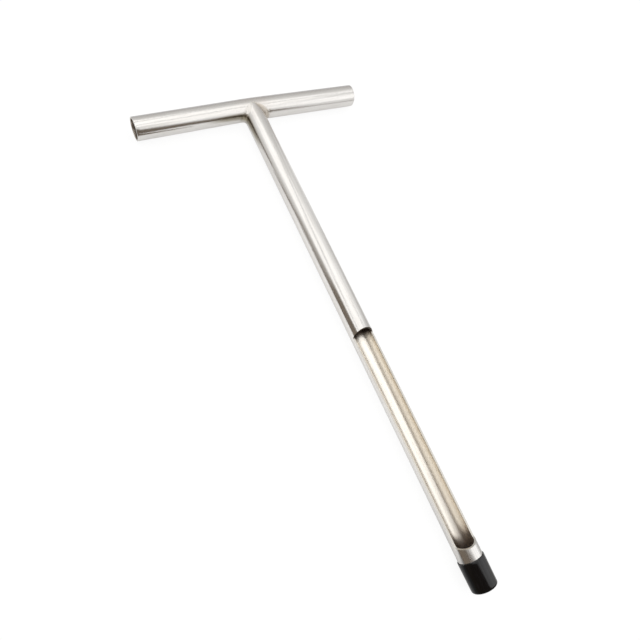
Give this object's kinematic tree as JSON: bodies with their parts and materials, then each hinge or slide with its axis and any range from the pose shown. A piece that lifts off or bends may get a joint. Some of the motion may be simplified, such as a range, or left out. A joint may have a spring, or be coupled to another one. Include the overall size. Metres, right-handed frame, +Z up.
{
  "type": "soil sampling probe",
  "caption": "T-handled soil sampling probe: welded steel tube with a sampling window cut along its lower half and a push-on vinyl cap over its cutting tip.",
  "frame": {"origin": "below the middle of the probe's overall length and width, on the surface that it lies on", "axes": "+X along the cross handle, +Y from the cutting tip towards the handle, +Z up, the way the sampling window faces"},
  "size_m": [0.2444, 0.5136, 0.024],
  "materials": {
    "tube_steel": "polished stainless tube with fine lengthwise grain",
    "weld_metal": "satin weld with a faint straw heat tint",
    "black_vinyl": "smooth semi-gloss dip-moulded vinyl"
  },
  "bodies": {
    "probe": {"handle_tube": "tube_steel", "probe_tube": "tube_steel", "weld_bead": "weld_metal"},
    "cap": {"tip_cap": "black_vinyl"}
  },
  "joints": [
    {"name": "cap_pull", "type": "slide", "parent": "probe", "child": "cap", "axis": [0, -1, 0], "range_m": [0, 0.035]}
  ]
}
